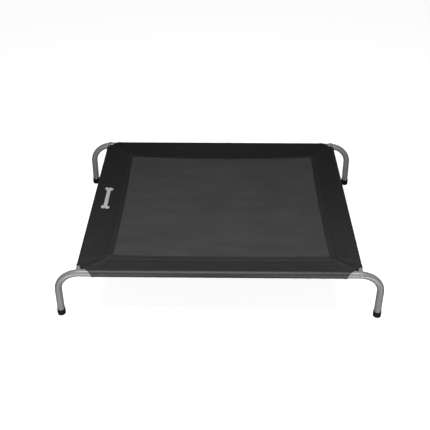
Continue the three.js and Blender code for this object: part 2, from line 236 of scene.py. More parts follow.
def tube_ring(point, direction, radius, flattening=0.0):
    """A ring around a tube whose axis lies in the XZ plane."""
    outwards = Vector((-direction.z, 0, direction.x))
    ring = []
    for k in range(TUBE_SIDES):
        angle = 2 * math.pi * k / TUBE_SIDES
        side = outwards * (math.cos(angle) * (1 - flattening))
        ring.append(point + radius * (side + Vector((0, math.sin(angle) * (1 + flattening / 2), 0))))
    return ring


def tube_piece(name, vertices, faces, material):
    return new_piece(name + "_tube", vertices, faces, material, [name], sharp=50)


def rail(name, start_x, with_spigot, matrix, material):
    """Half a rail with its bend and leg: a hollow tube, open at both ends."""
    axis = rail_axis(start_x)
    lip = 0.35 * MM
    outer = [(p, d, TUBE_RADIUS, BEND_FLATTENING * b) for p, d, b in axis]
    inner = [(p, d, TUBE_RADIUS - WALL, BEND_FLATTENING * b) for p, d, b in reversed(axis)]
    start, along = axis[0][0], axis[0][1]
    if with_spigot:
        spigot = TUBE_RADIUS - WALL - GAP
        neck = start - along * NECK_LENGTH
        tip = Vector((SPIGOT_TIP_X, 0, RAIL_Z))
        ends = [(tip, spigot - WALL), (tip, spigot - lip), (tip + along * lip, spigot), (neck, spigot)]
        ends.append((start - along * 0.8 * NECK_LENGTH, spigot + 0.1 * MM))
        ends.append((start - along * lip, TUBE_RADIUS - lip))
        head = [(p, along, r, 0.0) for p, r in ends]
        tail = [(neck, along, spigot - WALL, 0.0)]
    else:
        head = [(start, along, TUBE_RADIUS - lip, 0.0)]
        head.append((start + along * lip, along, TUBE_RADIUS, 0.0))
        outer = outer[1:]
        tail = []
    rings = [tube_ring(*station) for station in head + outer + inner + tail]
    faces = grid_faces(len(rings), TUBE_SIDES, close_rows=True, close_columns=True)
    vertices = moved([v for ring in rings for v in ring], matrix)
    return tube_piece(name, vertices, faces, material)


def crossbar(name, x, material):
    """A hollow tube whose ends are coped to the rails."""
    rows = []
    steps = 40
    for radius, order in ((CROSSBAR_RADIUS, 1), (CROSSBAR_RADIUS - WALL, -1)):
        for i in range(steps + 1)[::order]:
            share = 2 * i / steps - 1
            row = []
            for k in range(TUBE_SIDES):
                angle = 2 * math.pi * k / TUBE_SIDES
                dx, dz = radius * math.cos(angle), radius * math.sin(angle)
                into_bend = max(0.0, abs(x + dx) - BEND_START_X)
                rail_z = RAIL_Z - BEND_RADIUS + math.sqrt(BEND_RADIUS**2 - into_bend**2)
                reach = TUBE_RADIUS + 0.1 * MM
                cope = math.sqrt(reach**2 - (CROSSBAR_Z + dz - rail_z) ** 2)
                row.append((x + dx, share * (RAIL_Y - cope), CROSSBAR_Z + dz))
            rows.append(row)
    faces = grid_faces(len(rows), TUBE_SIDES, close_rows=True, close_columns=True)
    return tube_piece(name, [v for row in rows for v in row], faces, material)


# ---- Fasteners, modelled around Z with the head up, then turned to face outwards ----


def facing_outwards(corner):
    """The matrix that puts a fastener on the outside of a rail at a corner. Its Z = 0
    is the top of the rail's tube."""
    x, y = CORNERS[corner]
    turn = Matrix.Rotation(-y * math.pi / 2, 4, "X")
    return Matrix.Translation((x * CROSSBAR_X, y * (RAIL_Y + TUBE_RADIUS), CROSSBAR_Z)) @ turn


def bolt(corner, material):
    """A button-head bolt: domed, with a hexagon socket, on a shank."""
    seat = GAP + WASHER_THICKNESS + 0.1 * MM
    sides = 48
    dome = HEAD_HEIGHT - HEAD_RIM
    tip, chamfer = seat - BOLT_LENGTH, 0.6 * MM
    profile = [(0, tip), (BOLT_RADIUS - chamfer, tip), (BOLT_RADIUS, tip + chamfer)]
    profile.append((BOLT_RADIUS, seat))
    profile += [(HEAD_RADIUS - 0.3 * MM, seat), (HEAD_RADIUS, seat + 0.25 * MM)]
    for angle in range(0, 61, 6):
        swell = math.radians(angle)
        radius = HEAD_RADIUS * math.cos(swell)
        if radius > SOCKET_RADIUS * 1.25:
            profile.append((radius, seat + HEAD_RIM + dome * math.sin(swell)))
    rim_height = profile[-1][1]
    bottom = seat + HEAD_HEIGHT - SOCKET_DEPTH
    profile += [(SOCKET_RADIUS * 1.12, rim_height + 0.1 * MM), (SOCKET_RADIUS, rim_height)]
    profile += [(SOCKET_RADIUS, bottom), (0, bottom - 0.3 * MM)]
    vertices, faces = turned(profile, sides)
    socket_rings = range(len(profile) - 4, len(profile) - 2)
    for ring in socket_rings:
        for k in range(sides):
            angle = 2 * math.pi * k / sides
            flat = math.cos(math.pi / 6) / math.cos((angle % (math.pi / 3)) - math.pi / 6)
            x, y, z = vertices[ring * sides + k]
            vertices[ring * sides + k] = (x * flat, y * flat, z)
    vertices = moved(vertices, facing_outwards(corner))
    return corner_piece(corner, "button_head", "bolt", vertices, faces, material, 35)


def washer(corner, material):
    """A round washer, curved to lie on the tube, with rounded edges."""
    sides = 64
    hole = BOLT_RADIUS + 0.2 * MM
    edge = 0.35 * MM
    under, top = 0.1 * MM, GAP + WASHER_THICKNESS
    section = [(hole, under), (WASHER_RADIUS - edge, under), (WASHER_RADIUS, under + edge)]
    section += [(WASHER_RADIUS, top - edge), (WASHER_RADIUS - edge, top)]
    section += [(hole + edge, top), (hole, top - edge)]
    up = -CORNERS[corner][1]  # the washer's own Y points down on the rear and up in front
    vertices = []
    for radius, height in section:
        for k in range(sides):
            angle = 2 * math.pi * k / sides
            x, y = radius * math.cos(angle), radius * math.sin(angle)
            above_axis = up * y + CROSSBAR_Z - RAIL_Z
            z = math.sqrt((TUBE_RADIUS + height) ** 2 - above_axis**2) - TUBE_RADIUS
            vertices.append((x, y, z))
    faces = grid_faces(len(section), sides, close_rows=True, close_columns=True)
    vertices = moved(vertices, facing_outwards(corner))
    return corner_piece(corner, "saddle_washer", "washer", vertices, faces, material, 40)


# ---- Rubber feet ----


def foot_profile():
    """Half the section of a foot, from the middle of its sole to its bore's end."""
    sole, sole_radius, rounding = 0.8 * MM, 12.4 * MM, 1.3 * MM
    profile = [(0, sole), (4 * MM, sole), (4.5 * MM, 0), (6.5 * MM, 0), (7 * MM, sole)]
    profile += [(9 * MM, sole), (9.5 * MM, 0), (sole_radius, 0)]
    for angle in range(15, 91, 15):
        swell = math.radians(angle)
        profile.append((sole_radius + rounding * math.sin(swell), rounding * (1 - math.cos(swell))))
    lip, groove = FOOT_RADIUS - 0.1 * MM, FOOT_RADIUS - 0.45 * MM
    half_lip, half_groove = 0.6 * MM, 0.25 * MM
    for height in (7 * MM, 9.4 * MM, 11.8 * MM):
        profile += [(lip, height - half_lip), (groove, height - half_groove)]
        profile += [(groove, height + half_groove), (lip, height + half_lip)]
    rim = 1.6 * MM
    profile += [(FOOT_RADIUS, 15 * MM), (FOOT_RADIUS, FOOT_HEIGHT - rim)]
    for angle in range(20, 91, 14):
        swell = math.radians(angle)
        radius = FOOT_RADIUS - rounding * (1 - math.cos(swell))
        profile.append((radius, FOOT_HEIGHT - rim * (1 - math.sin(swell))))
    bore = TUBE_RADIUS + 0.1 * MM
    profile += [(bore + 0.15 * MM, FOOT_HEIGHT - 0.1 * MM), (bore, FOOT_HEIGHT - 0.6 * MM)]
    profile += [(bore, FOOT_BASE), (0, FOOT_BASE)]
    return profile


def foot(corner, material):
    x, y = CORNERS[corner]
    vertices, faces = turned(foot_profile(), 72, math.tan(LEG_SPLAY))
    place = Matrix.Translation((x * FOOT_X, y * RAIL_Y, 0))
    vertices = moved(vertices, place if x > 0 else place @ HALF_TURN)
    return corner_piece(corner, "rubber_foot", "foot", vertices, faces, material, 50)


# ---- The stretched cover's height ----

STRIP_SLOPE = math.radians(9)  # of the border at the rails, where it leaves the tube
RAIL_SLEEVE_RADIUS = TUBE_RADIUS + GAP + CLOTH / 2
CROSSBAR_SLEEVE_RADIUS = CROSSBAR_RADIUS + GAP + CLOTH / 2
FILM_X = CROSSBAR_X - CROSSBAR_SLEEVE_RADIUS * math.sin(STRIP_SLOPE)
FILM_Y = RAIL_Y - RAIL_SLEEVE_RADIUS * math.sin(STRIP_SLOPE)
CROSSBAR_TOP_Z = CROSSBAR_Z + CROSSBAR_SLEEVE_RADIUS * math.cos(STRIP_SLOPE)
RAIL_TOP_Z = RAIL_Z + RAIL_SLEEVE_RADIUS * math.cos(STRIP_SLOPE)
FILM_COLUMNS, FILM_ROWS = 231, 193
FILM_PASSES = 800
OVER_RELAXATION = 1.96
MESH_TENSION = 4.0  # of the mesh, where the border cloth's is 1
BEYOND_TENSION = 0.02  # past the slanting cuts, where there is no cloth


def beyond_cut(x, y):
    """True past the slanting cut across a corner of the cover."""
    share_x = (np.abs(x) - MOUTH_RAIL_X) / (COVER_HALF_X - MOUTH_RAIL_X)
    share_y = (np.abs(y) - MOUTH_CROSSBAR_Y) / (COVER_HALF_Y - MOUTH_CROSSBAR_Y)
    return share_x + share_y > 1


def on_mesh(x, y):
    inside_x = (x > -MESH_EDGE["left"]) & (x < MESH_EDGE["right"])
    return inside_x & (y > -MESH_EDGE["front"]) & (y < MESH_EDGE["rear"])


def tension(x, y):
    return np.where(beyond_cut(x, y), BEYOND_TENSION, np.where(on_mesh(x, y), MESH_TENSION, 1.0))


def relax_film(load):
    """Height of a film between the tubes that is pressed down by a load, by successive
    over-relaxation."""
    x_row, y_row = np.linspace(-FILM_X, FILM_X, FILM_COLUMNS), np.linspace(-FILM_Y, FILM_Y, FILM_ROWS)
    x, y = np.meshgrid(x_row, y_row)
    hx, hy = x[0, 1] - x[0, 0], y[1, 0] - y[0, 0]
    east, west = tension(x + hx / 2, y) / hx**2, tension(x - hx / 2, y) / hx**2
    north, south = tension(x, y + hy / 2) / hy**2, tension(x, y - hy / 2) / hy**2
    east[:, -1] = west[:, 0] = north[-1, :] = south[0, :] = 0
    total = east + west + north + south
    cloth = ~beyond_cut(x, y)
    weight = np.where(cloth, load, 0.0)
    held_x, held_y = cloth & (np.abs(x) > FILM_X - hx / 2), cloth & (np.abs(y) > FILM_Y - hy / 2)
    z = np.full(x.shape, RAIL_TOP_Z)
    z[held_x] = CROSSBAR_TOP_Z
    free = ~(held_x | held_y)
    chequer = (np.add.outer(np.arange(FILM_ROWS), np.arange(FILM_COLUMNS)) % 2).astype(bool)
    steps = [np.where(free & colour, OVER_RELAXATION / total, 0.0) for colour in (chequer, ~chequer)]
    for _ in range(FILM_PASSES):
        for step in steps:
            padded = np.pad(z, 1, mode="edge")
            around = east * padded[1:-1, 2:] + west * padded[1:-1, :-2]
            around += north * padded[2:, 1:-1] + south * padded[:-2, 1:-1]
            z = z + step * (around - weight - total * z)
    return z


def film_grid():
    """The film whose middle is as low as the middle of the mesh in the frame."""
    unloaded, loaded = relax_film(0.0), relax_film(1.0)
    row, column = FILM_ROWS // 2, FILM_COLUMNS // 2
    drop = MESH_MIDDLE_Z + MESH_DROP - unloaded[row, column]
    return unloaded + drop / (loaded[row, column] - unloaded[row, column]) * (loaded - unloaded)


FILM = film_grid()


def film(x, y):
    """Height of the film at any place, between the points of its grid."""
    column = np.clip((x / FILM_X + 1) / 2 * (FILM_COLUMNS - 1), 0, FILM_COLUMNS - 1.001)
    row = np.clip((y / FILM_Y + 1) / 2 * (FILM_ROWS - 1), 0, FILM_ROWS - 1.001)
    i, j = row.astype(int), column.astype(int)
    b, a = row - i, column - j
    near = FILM[i, j] * (1 - a) + FILM[i, j + 1] * a
    far = FILM[i + 1, j] * (1 - a) + FILM[i + 1, j + 1] * a
    return near * (1 - b) + far * b


# ---- Creases and folds of the cover ----

dice = random.Random(7)
MESH_BOW = {"left": 3.5 * MM, "right": 3.5 * MM, "front": 0.0, "rear": 7 * MM}
BOW_REACH = 45 * MM
FOLD_HEIGHT = 0.17 * MM  # of the border's folds, which run along the tubes
CRINKLE_HEIGHT = 0.12 * MM
MESH_WAVE_HEIGHT = 0.18 * MM
CORNER_FOLD_HEIGHT = 0.5 * MM
UNBOWED_SHARE = 0.57  # squared share of an edge's half length at which it stays in place


def waves(count, wavelength, spread, heading, swing):
    """Random sine waves, as (kx, ky, phase): lengths within a factor of spread, and
    headings within swing of heading, both in radians."""
    found = []
    for _ in range(count):
        k = 2 * math.pi / (wavelength * spread ** dice.uniform(-1, 1))
        angle = heading + dice.uniform(-swing, swing)
        found.append((k * math.cos(angle), k * math.sin(angle), dice.uniform(0, 2 * math.pi)))
    return found


RAIL_FOLDS = waves(9, 15 * MM, 1.5, math.pi / 2, 0.10)
CROSSBAR_FOLDS = waves(9, 17 * MM, 1.5, 0.0, 0.12)
CRINKLES = waves(16, 12 * MM, 1.4, 0.0, math.pi)
MESH_WAVES = waves(6, 120 * MM, 1.6, math.pi / 2, 0.5)
PUCKERS = waves(5, 14 * MM, 1.5, math.pi / 4, 0.2)


def total_of(waves_, x, y):
    return sum(np.sin(kx * x + ky * y + phase) for kx, ky, phase in waves_) / math.sqrt(len(waves_))


def smooth_step(value, low, high):
    share = np.clip((value - low) / (high - low), 0, 1)
    return share * share * (3 - 2 * share)


def bowed(x, y):
    """Where a point of the cover lies in plan, once its tension has bowed the edges of
    the mesh inwards."""
    new_x, new_y = x, y
    for side, sign in (("left", -1), ("right", 1)):
        along = np.clip(np.abs(y) / MESH_EDGE["front"], 0, 1)
        fade = np.exp(-(((sign * x - MESH_EDGE[side]) / BOW_REACH) ** 2))
        new_x = new_x - sign * MESH_BOW[side] * (UNBOWED_SHARE - along**2) * fade
    for side, sign in (("front", -1), ("rear", 1)):
        along = np.clip(np.abs(x) / MESH_EDGE["right"], 0, 1)
        fade = np.exp(-(((sign * y - MESH_EDGE[side]) / BOW_REACH) ** 2))
        new_y = new_y - sign * MESH_BOW[side] * (UNBOWED_SHARE - along**2) * fade
    return new_x, new_y


def past_mesh(x, y):
    """How far out from the mesh's edges a point is, in X and in Y."""
    dx = np.where(x > 0, x - MESH_EDGE["right"], -x - MESH_EDGE["left"])
    dy = np.where(y > 0, y - MESH_EDGE["rear"], -y - MESH_EDGE["front"])
    return dx, dy


def rail_share(x, y):
    """1 on the strips along the rails and 0 on those along the crossbars."""
    dx, dy = past_mesh(x, y)
    span_x, span_y = MITRE_X - (np.abs(x) - dx), MITRE_Y - (np.abs(y) - dy)
    return smooth_step(dy - dx * span_y / span_x, -2 * MM, 2 * MM)


def corner_folds(x, y):
    """Folds that fan out from a corner of the mesh to the slanting cut."""
    dx, dy = past_mesh(x, y)
    along = np.hypot(dx, dy)
    angle = np.arctan2(dy, dx)
    off_mitre, width = angle - 0.78, 0.75
    fan = np.cos(11 * off_mitre) * np.exp(-((off_mitre / width) ** 2))
    reach = smooth_step(along, 8 * MM, 45 * MM) * (1 - smooth_step(along, 80 * MM, 122 * MM))
    return np.where((dx > 0) & (dy > 0), fan * reach, 0.0)


def seam_grooves(x, y):
    """The dents of the two rows of stitches that close a sleeve."""
    share = rail_share(x, y)
    inward = share * (RAIL_Y - np.abs(y)) + (1 - share) * (CROSSBAR_X - np.abs(x))
    width = 1.5 * MM
    rows = sum(np.exp(-(((inward - row) / width) ** 2)) for row in SEAM_ROWS)
    return -rows * (0.32 * MM + 0.10 * MM * total_of(PUCKERS, x, y))


def relief(x, y):
    """What creases and folds add to the film's height."""
    from_rail, from_crossbar = RAIL_Y - np.abs(y), CROSSBAR_X - np.abs(x)
    off_tubes = smooth_step(from_rail, 5 * MM, 22 * MM) * smooth_step(from_crossbar, 5 * MM, 22 * MM)
    dx, dy = past_mesh(x, y)
    border = smooth_step(np.maximum(dx, dy), -4 * MM, 6 * MM)
    share = rail_share(x, y)
    folds = share * total_of(RAIL_FOLDS, x, y) + 0.7 * (1 - share) * total_of(CROSSBAR_FOLDS, x, y)
    height = border * (FOLD_HEIGHT * folds + CRINKLE_HEIGHT * total_of(CRINKLES, x, y))
    height += border * seam_grooves(x, y)
    height += (1 - border) * MESH_WAVE_HEIGHT * total_of(MESH_WAVES, x, y)
    height += CORNER_FOLD_HEIGHT * corner_folds(x, y)
    return height * off_tubes


def cover_z(x, y):
    return film(x, y) + relief(x, y)


# ---- Border strips with their sleeves ----

NEXT_SIDE = {"front": "left", "left": "rear", "rear": "right", "right": "front"}
BEFORE_SIDE = {after: before for before, after in NEXT_SIDE.items()}
INWARDS = {"front": (0, 1), "rear": (0, -1), "left": (1, 0), "right": (-1, 0)}
JOINT_BUMP = 0.5 * MM  # of a sleeve over the end of the tube that receives the spigot
UNDERSIDE_PEAK = 10 * MM  # inward from a crossbar, where the underside reaches farthest
UNDERSIDE_REACH = 15 * MM  # past the mouth, there
MOUTH_REACH = 14 * MM  # of the slack at a mouth, along the sleeve


class Strip:
    """One border strip with its sleeve. A point of it is given by t, the distance from
    the mesh's edge along the cloth, and s, the distance along the tube from its middle."""

    def __init__(self, side):
        self.side = side
        self.inwards = INWARDS[side]
        self.along = (-self.inwards[1], self.inwards[0])
        self.on_rail = side in ("front", "rear")
        self.axis_z = RAIL_Z if self.on_rail else CROSSBAR_Z
        self.far = RAIL_Y if self.on_rail else CROSSBAR_X
        self.run = self.far - MESH_EDGE[side]
        self.radius = RAIL_SLEEVE_RADIUS if self.on_rail else CROSSBAR_SLEEVE_RADIUS
        rise = self.radius + 10 * MM
        self.flap_angle = math.atan2(rise, SLEEVE_SEAM) * 0.92
        self.leaves = self.run - self.radius * math.sin(STRIP_SLOPE)
        self.outermost = self.leaves + self.radius * (math.pi / 2 + STRIP_SLOPE)
        self.returns = self.leaves + self.radius * (math.pi + STRIP_SLOPE + self.flap_angle)
        self.flap = math.hypot(SLEEVE_SEAM - self.radius * math.sin(self.flap_angle), rise)
        self.seam = self.returns + self.flap
        self.length = self.seam + SLEEVE_HEM
        self.slack = waves(5, 60 * MM, 1.6, 0.0, 0.3)

    def mesh_end(self, end):
        """Distance along the tube to the corner of the mesh at one end."""
        return MESH_EDGE[NEXT_SIDE[self.side] if end > 0 else BEFORE_SIDE[self.side]]

    def plan(self, s, u):
        """World X and Y at s along the tube and u inwards from its axis."""
        out = self.far - u
        x = s * self.along[0] - out * self.inwards[0]
        y = s * self.along[1] - out * self.inwards[1]
        return bowed(x, y)

    def around(self, t):
        """The angle around the tube, from 0 on its inner side, upwards and over."""
        return np.pi / 2 - STRIP_SLOPE + (t - self.leaves) / self.radius

    def inward(self, t):
        """How far inwards from the tube's axis the cloth is."""
        t = np.asarray(t, dtype=float)
        low_end = self.radius * math.sin(self.flap_angle)
        on_flap = low_end + (SLEEVE_SEAM - low_end) * (t - self.returns) / self.flap
        u = np.where(t < self.leaves, self.run - t, self.radius * np.cos(self.around(t)))
        u = np.where(t > self.returns, on_flap, u)
        return np.where(t > self.seam, SLEEVE_SEAM + t - self.seam, u)

    def reach(self, t, end):
        """The strip's length at t from the tube's middle to the mitre or the mouth."""
        t = np.asarray(t, dtype=float)
        mitre = (MITRE_Y, MITRE_X) if self.on_rail else (MITRE_X, MITRE_Y)
        mouth = (COVER_HALF_Y, MOUTH_RAIL_X) if self.on_rail else (COVER_HALF_X, MOUTH_CROSSBAR_Y)
        outline = np.array([(MESH_EDGE[self.side], self.mesh_end(end)), mitre, mouth])
        u = self.inward(t)
        above = np.interp(self.far - u, outline[:, 0], outline[:, 1])
        past_mouth = 1.5 * MM if self.on_rail else UNDERSIDE_REACH
        peak = SLEEVE_SEAM if self.on_rail else UNDERSIDE_PEAK
        places = [-self.radius, peak, SLEEVE_SEAM + 1 * MM]
        under = mouth[1] + np.interp(u, places, [0, past_mouth, past_mouth / 2])
        return np.where(t > self.outermost, under, above)

    def point(self, s, t, lift=0.0):
        """Points of the cloth's middle surface, or lift away from it, outwards from the
        tube and upwards on the strip."""
        s, t = np.broadcast_arrays(np.asarray(s, float), np.asarray(t, float))
        u = self.inward(t)
        x, y = self.plan(s, u)
        top = cover_z(x, y)
        end = np.where(s > 0, self.reach(t, 1), self.reach(t, -1))
        near_end = np.exp(-np.clip(end - np.abs(s), 0, None) / MOUTH_REACH)
        slack = total_of(self.slack, s, 0 * s)
        angle = self.around(t)
        under = smooth_step(angle, math.radians(150), math.radians(240))
        give = (0.1 + 0.15 * slack) * MM * under + near_end * (0.3 + 0.2 * under) * MM
        joint = JOINT_BUMP * np.exp(-(((s - JOINT_X) / (5 * MM)) ** 2)) if self.on_rail else 0.0
        give = give + joint * smooth_step(angle, math.radians(80), math.radians(110))
        loop = self.axis_z + (self.radius + give) * np.sin(angle)
        seam_x, seam_y = self.plan(s, np.full_like(s, SLEEVE_SEAM))
        seam_z = cover_z(seam_x, seam_y) - 1.1 * CLOTH
        share = np.clip((t - self.returns) / self.flap, 0, 1)
        low_z = self.axis_z - (self.radius + give) * math.cos(self.flap_angle)
        belly = (0.4 + 0.4 * slack) * MM * np.sin(np.pi * share)
        z = np.where(t < self.leaves, top, loop)
        z = np.where(t > self.returns, low_z + (seam_z - low_z) * share - belly, z)
        z = np.where(t > self.seam, top - 1.1 * CLOTH, z)
        spread = np.where((t >= self.leaves) & (t <= self.returns), give * np.cos(angle), 0.0)
        x, y = self.plan(s, u + spread)
        points = np.stack([x, y, z], axis=-1)
        if np.any(lift):
            points = points + np.asarray(lift)[..., None] * self.normal(s, t)
        return points

    def normal(self, s, t):
        step = 1.5 * MM
        ds = self.point(s + step, t) - self.point(s - step, t)
        dt = self.point(s, t + step) - self.point(s, t - step)
        return unit(np.cross(ds, dt))


def unit(vectors):
    return vectors / np.linalg.norm(vectors, axis=-1, keepdims=True)


def solidify(piece, thickness, offset=0.0):
    thick = piece.modifiers.new("thickness", "SOLIDIFY")
    thick.thickness = thickness
    thick.offset = offset
    thick.use_even_offset = True
    thick.use_rim = True


def patch(strip, name, ts, s_grid, lift, material, thickness, nodes=()):
    """A piece of cloth that follows a strip: one row for each t, with a column at each
    s of its row."""
    s_grid = np.asarray(s_grid)
    t_grid = np.repeat(np.asarray(ts)[:, None], s_grid.shape[1], axis=1)
    points = strip.point(s_grid, t_grid, np.zeros(s_grid.shape) + lift)
    uvs = np.stack([s_grid, t_grid], axis=-1).reshape(-1, 2)
    faces = grid_faces(*s_grid.shape)
    piece = new_piece(name, points.reshape(-1, 3), faces, material, nodes, uvs)
    solidify(piece, thickness)
    return piece


def border(strip, material):
    """The strip itself, from under the band along the mesh to the hem in its sleeve. Its
    columns lie closer together towards the ends."""
    flat = np.linspace(0, strip.leaves, 30)
    around = np.linspace(strip.leaves, strip.returns, 30)[1:]
    under = np.linspace(strip.returns, strip.seam, 12)[1:]
    hem = np.linspace(strip.seam, strip.length, 4)[1:]
    ts = np.concatenate([flat, around, under, hem])
    columns = (np.sin(np.linspace(-1, 1, 261) * 1.25) / math.sin(1.25) + 1) / 2
    first, last = -strip.reach(ts, -1)[:, None], strip.reach(ts, 1)[:, None]
    s_grid = first + (last - first) * columns[None, :]
    name = strip.side + "_border_cloth"
    piece = patch(strip, name, ts, s_grid, 0.0, material, CLOTH, nodes=[strip.side + "_border_sleeve"])
    return piece, ts, s_grid


# ---- Hems ----

BAND_OVER_MESH = 0.8 * MM


def band(strip, material):
    """The folded hem along the mesh. At one end it lies on top of the next side's."""
    ts = np.array([-BAND_OVER_MESH, -BAND_OVER_MESH + 0.6 * MM, 2 * MM, 7 * MM, 12 * MM])
    ts = np.append(ts, [BAND_WIDTH - BAND_OVER_MESH - 0.6 * MM, BAND_WIDTH - BAND_OVER_MESH])
    first, last = -strip.mesh_end(-1) - 1 * MM, strip.mesh_end(1) + BAND_WIDTH - BAND_OVER_MESH
    s_grid = np.repeat(np.linspace(first, last, 300)[None, :], len(ts), axis=0)
    over_next = smooth_step(last - s_grid, BAND_WIDTH + 12 * MM, BAND_WIDTH)
    lift = 0.62 * MM + 0.5 * MM * over_next
    lift[0, :] -= 0.15 * MM
    lift[-1, :] -= 0.2 * MM
    return patch(strip, strip.side + "_mesh_hem", ts, s_grid, lift, material, 0.5 * MM)


def rows_at_mouth(strip, count, past_mitre):
    """Values of t down the slanting cut and around the sleeve's mouth."""
    ts = np.linspace(0, strip.seam, count)
    mitre = MITRE_Y if strip.on_rail else MITRE_X
    return ts[(strip.far - strip.inward(ts) > mitre + past_mitre) | (ts > strip.outermost)]


def mouth_hem(strip, end, material):
    """The folded hem at one mouth of a sleeve, around the tube and along both layers."""
    ts = rows_at_mouth(strip, 120, -1 * MM)
    depth = np.array([0, 0.4, 1.2, 3.5, 6, MOUTH_HEM / MM - 0.6, MOUTH_HEM / MM]) * MM
    s_grid = strip.reach(ts, end)[:, None] + 0.25 * MM - depth[None, :]
    lift = np.zeros(s_grid.shape) + 0.55 * MM
    lift[:, 0] -= 0.25 * MM
    lift[:, -1] -= 0.2 * MM
    ends = ("left", "right") if strip.on_rail else ("front", "rear")
    side = ends[end * (strip.along[0] + strip.along[1]) > 0]
    name = f"{strip.side}_mouth_hem_{side}"
    if end < 0:
        s_grid = -s_grid[:, ::-1]
        lift = lift[:, ::-1]
    return patch(strip, name, ts, s_grid, lift, material, 0.5 * MM)


# ---- Stitching ----


def stitch_shape():
    """One stitch along X: a short thread whose ends dip into the cloth."""
    vertices = []
    sides, rings = 6, 5
    for i in range(rings):
        share = 2 * i / (rings - 1) - 1
        swell = THREAD_RADIUS * (1 - 0.45 * share**4)
        height = 0.15 * MM - 0.5 * MM * share**4
        for k in range(sides):
            angle = 2 * math.pi * k / sides
            y, z = swell * math.cos(angle), height + swell * math.sin(angle)
            vertices.append((share * STITCH_LENGTH / 2, y, z))
    faces = grid_faces(rings, sides, close_columns=True)
    faces.append(tuple(range(sides)))
    faces.append(tuple(range(len(vertices) - 1, len(vertices) - 1 - sides, -1)))
    return np.array(vertices), faces


def stitches(name, rows, material):
    """Stitches along rows of cloth points, each row as (middles, tangents, normals)."""
    shape, shape_faces = stitch_shape()
    vertices, faces = [], []
    for middles, tangents, normals in rows:
        across = np.cross(normals, tangents)
        for place, x, y, z in zip(middles, tangents, across, normals):
            base = len(vertices) * len(shape)
            vertices.append(place + shape @ np.array([x, y, z]))
            faces += [tuple(base + i for i in face) for face in shape_faces]
    return new_piece(name, np.concatenate(vertices), faces, material)


def row_along(strip, t, s_from, s_to, lift):
    """A row of stitches along the tube."""
    count = int((s_to - s_from) / STITCH_PITCH)
    s = s_from + (np.arange(count) + 0.5) * (s_to - s_from) / count
    t = np.full(count, t)
    step = 1 * MM
    tangents = unit(strip.point(s + step, t) - strip.point(s - step, t))
    return strip.point(s, t, np.zeros(count) + lift), tangents, strip.normal(s, t)


def row_around(strip, end, lift):
    """A row of stitches along the hem at a sleeve's mouth."""
    inset = MOUTH_HEM - 2.2 * MM
    ts = rows_at_mouth(strip, 400, 2 * MM)
    path = strip.point(end * (strip.reach(ts, end) - inset), ts)
    travelled = np.append(0, np.cumsum(np.linalg.norm(np.diff(path, axis=0), axis=1)))
    count = int(travelled[-1] / STITCH_PITCH)
    t = np.interp((np.arange(count) + 0.5) * travelled[-1] / count, travelled, ts)
    step = 0.6 * MM
    ahead = strip.point(end * (strip.reach(t + step, end) - inset), t + step)
    behind = strip.point(end * (strip.reach(t - step, end) - inset), t - step)
    s = end * (strip.reach(t, end) - inset)
    return strip.point(s, t, np.zeros(count) + lift), unit(ahead - behind), strip.normal(s, t)


def strip_stitches(strip, material):
    rows = []
    first, last = -strip.mesh_end(-1) + 2 * MM, strip.mesh_end(1) + BAND_WIDTH - 8 * MM
    for t in (2.7 * MM - BAND_OVER_MESH, BAND_WIDTH - BAND_OVER_MESH - 2.5 * MM):
        rows.append(row_along(strip, t, first, last, 1.0 * MM))
    for t in (strip.run - row for row in SEAM_ROWS):
        first, last = 4 * MM - strip.reach(t, -1), strip.reach(t, 1) - 4 * MM
        rows.append(row_along(strip, t, float(first), float(last), 0.4 * MM))
    for end in (-1, 1):
        rows.append(row_around(strip, end, 0.9 * MM))
    return stitches(strip.side + "_stitching", rows, material)


# ---- Mesh panel ----


def mesh_panel(material):
    columns, rows = 184, 158
    x_row = np.linspace(-MESH_EDGE["left"] - MESH_MARGIN, MESH_EDGE["right"] + MESH_MARGIN, columns)
    y_row = np.linspace(-MESH_EDGE["front"] - MESH_MARGIN, MESH_EDGE["rear"] + MESH_MARGIN, rows)
    x, y = np.meshgrid(x_row, y_row)
    z = cover_z(x, y) - MESH_DROP
    points = np.stack([x, y, z], axis=-1).reshape(-1, 3)
    uvs = points[:, :2]
    faces = grid_faces(rows, columns)
    piece = new_piece("stretched_mesh", points, faces, material, ["mesh_panel"], uvs)
    solidify(piece, MESH_CLOTH)
    return piece


# ---- Printed mark: a plain bone ----

MARK_LENGTH = 128 * MM
MARK_MIDDLE_S = 13 * MM
MARK_INWARD = 39.5 * MM  # from the tube's axis
MARK_BAR = 6.5 * MM  # half the width of the bone's shaft
MARK_LOBE = 8.5 * MM  # radius of the bone's ends
MARK_LOBE_MIDDLE = 6.5 * MM  # from the bone's axis
INK = 0.1 * MM


def bone_limits(along):
    """Nearest and farthest distance of the bone from its own axis, at a place along it."""
    knuckle = MARK_LENGTH / 2 - MARK_LOBE
    past = abs(along) - knuckle
    lobe = math.sqrt(max(MARK_LOBE**2 - past**2, 0.0))
    far = MARK_LOBE_MIDDLE + lobe if abs(past) < MARK_LOBE else 0.0
    near = max(MARK_LOBE_MIDDLE - lobe, 0.0) if past > 0 else 0.0
    bar = MARK_BAR if past <= 0 else 0.0
    return near, max(far, bar)


def dropped_onto(cloth, points, above):
    """The points, moved straight up or down to a height above a piece of cloth."""
    corners = [vertex.co for vertex in cloth.data.vertices]
    tree = BVHTree.FromPolygons(corners, [face.vertices for face in cloth.data.polygons])
    rise = 50 * MM
    moved = []
    for x, y, z in points:
        hit = tree.ray_cast(Vector((x, y, z + rise)), Vector((0, 0, -1)))[0]
        moved.append((x, y, hit.z + above))
    return np.array(moved)


